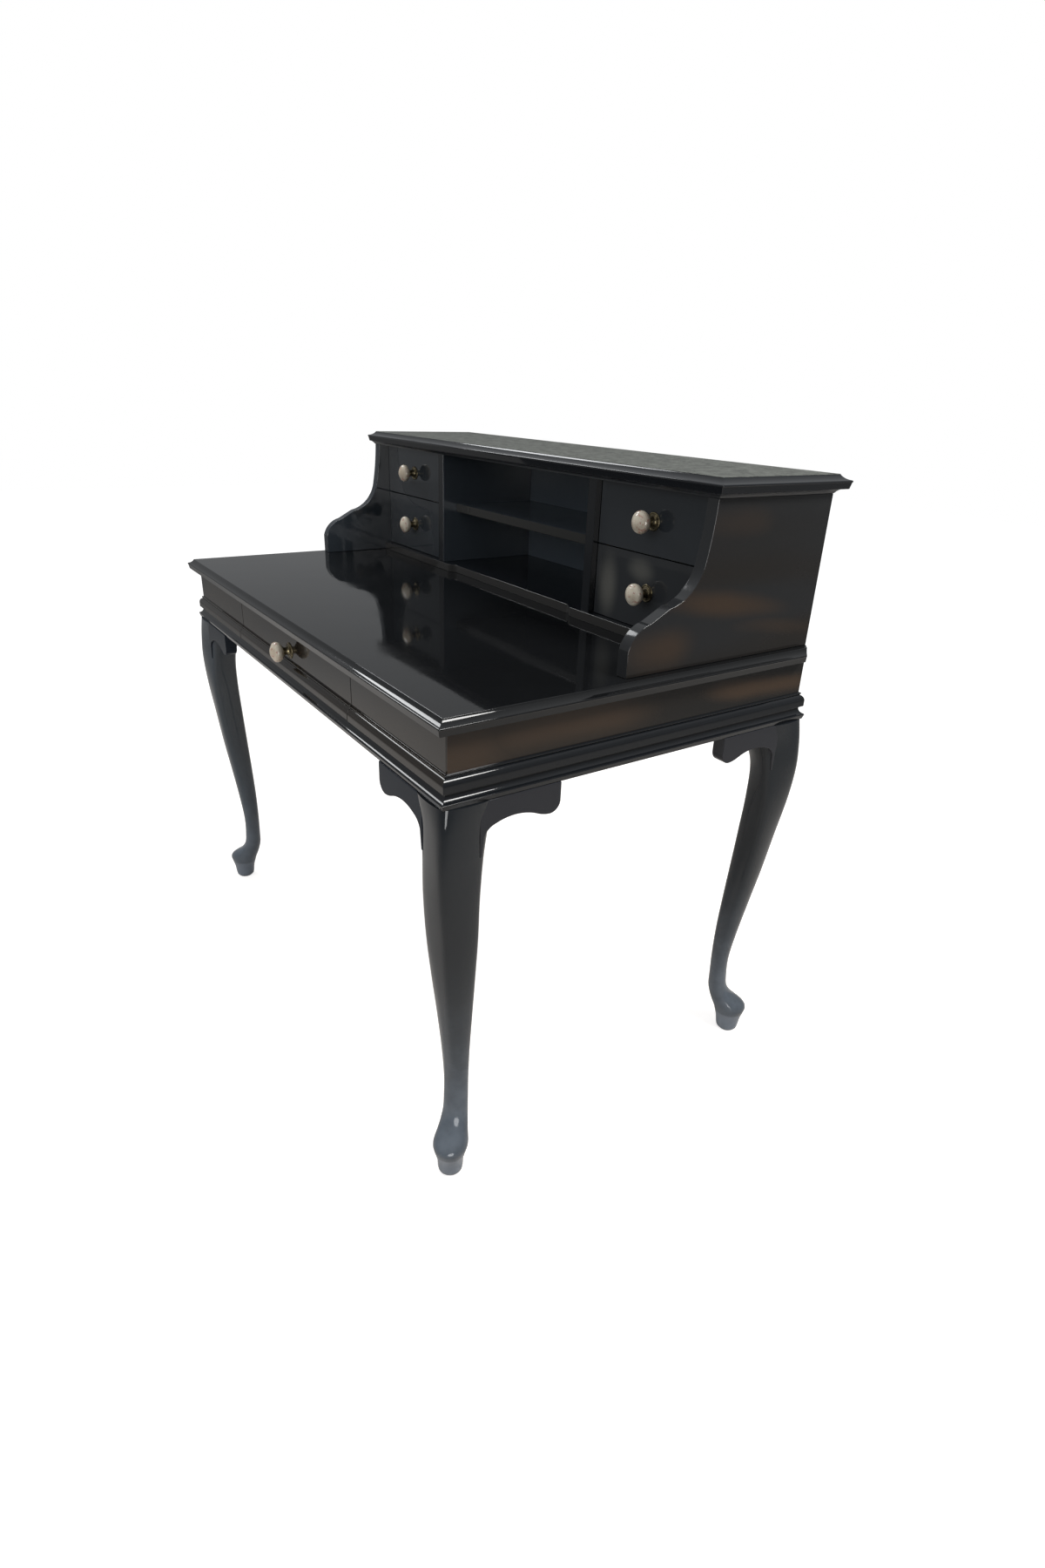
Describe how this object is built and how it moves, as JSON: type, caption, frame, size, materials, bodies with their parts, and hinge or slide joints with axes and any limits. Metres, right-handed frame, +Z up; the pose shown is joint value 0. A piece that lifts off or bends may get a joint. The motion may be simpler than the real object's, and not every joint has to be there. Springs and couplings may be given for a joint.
{
  "type": "bonheur du jour",
  "caption": "Black lacquered writing desk on cabriole legs, with a drawer in the moulded frieze and a raised stage of small drawers beside an open shelved compartment.",
  "frame": {"origin": "middle of the whole outline, on the floor", "axes": "+X to the right as seen from the front, +Y to the back, +Z up"},
  "size_m": [1.089, 0.698, 1.011],
  "materials": {
    "black_lacquer": "high-gloss black lacquer over wood",
    "plain_wood": "bare, lightly sanded drawer linings and inner parts",
    "porcelain": "ivory glaze with faint tinted crazing",
    "brass": "dulled turned brass",
    "steel": "plain wood screws"
  },
  "bodies": {
    "root": {"base_rail_back": "black_lacquer", "base_rail_front": "black_lacquer", "base_rail_left": "black_lacquer", "base_rail_right": "black_lacquer", "bead_back": "black_lacquer", "bead_left": "black_lacquer", "bead_right": "black_lacquer", "centre_shelf": "black_lacquer", "corner_blocks": "plain_wood", "desk_top": "black_lacquer", "drawer_runner_left": "plain_wood", "drawer_runner_right": "plain_wood", "dust_board_left": "plain_wood", "dust_board_right": "plain_wood", "frieze_back": "black_lacquer", "frieze_front_left": "black_lacquer", "frieze_front_right": "black_lacquer", "frieze_side_left": "black_lacquer", "frieze_side_right": "black_lacquer", "knee_brackets_back_left": "black_lacquer", "knee_brackets_back_right": "black_lacquer", "knee_brackets_front_left": "black_lacquer", "knee_brackets_front_right": "black_lacquer", "leg_back_left": "black_lacquer", "leg_back_right": "black_lacquer", "leg_front_left": "black_lacquer", "leg_front_right": "black_lacquer", "partition_left": "black_lacquer", "partition_right": "black_lacquer", "stage_back": "black_lacquer", "stage_base": "black_lacquer", "stage_side_left": "black_lacquer", "stage_side_right": "black_lacquer", "stage_top": "black_lacquer", "wood_screws": "steel"},
    "writing_drawer": {"writing_drawer_bottom": "plain_wood", "writing_drawer_front": "black_lacquer", "writing_drawer_knob": "porcelain", "writing_drawer_knob_collar": "brass", "writing_drawer_walls": "plain_wood"},
    "upper_left_drawer": {"upper_left_drawer_bottom": "plain_wood", "upper_left_drawer_front": "black_lacquer", "upper_left_drawer_knob": "porcelain", "upper_left_drawer_knob_collar": "brass", "upper_left_drawer_walls": "plain_wood"},
    "upper_right_drawer": {"upper_right_drawer_bottom": "plain_wood", "upper_right_drawer_front": "black_lacquer", "upper_right_drawer_knob": "porcelain", "upper_right_drawer_knob_collar": "brass", "upper_right_drawer_walls": "plain_wood"},
    "lower_left_drawer": {"lower_left_drawer_bottom": "plain_wood", "lower_left_drawer_front": "black_lacquer", "lower_left_drawer_knob": "porcelain", "lower_left_drawer_knob_collar": "brass", "lower_left_drawer_walls": "plain_wood"},
    "lower_right_drawer": {"lower_right_drawer_bottom": "plain_wood", "lower_right_drawer_front": "black_lacquer", "lower_right_drawer_knob": "porcelain", "lower_right_drawer_knob_collar": "brass", "lower_right_drawer_walls": "plain_wood"}
  },
  "joints": [
    {"name": "writing_drawer_slide", "type": "slide", "parent": "root", "child": "writing_drawer", "axis": [0, -1, 0], "range_m": [0, 0.33]},
    {"name": "upper_left_drawer_slide", "type": "slide", "parent": "root", "child": "upper_left_drawer", "axis": [0, -1, 0], "range_m": [0, 0.14]},
    {"name": "upper_right_drawer_slide", "type": "slide", "parent": "root", "child": "upper_right_drawer", "axis": [0, -1, 0], "range_m": [0, 0.14]},
    {"name": "lower_left_drawer_slide", "type": "slide", "parent": "root", "child": "lower_left_drawer", "axis": [0, -1, 0], "range_m": [0, 0.14]},
    {"name": "lower_right_drawer_slide", "type": "slide", "parent": "root", "child": "lower_right_drawer", "axis": [0, -1, 0], "range_m": [0, 0.14]}
  ]
}
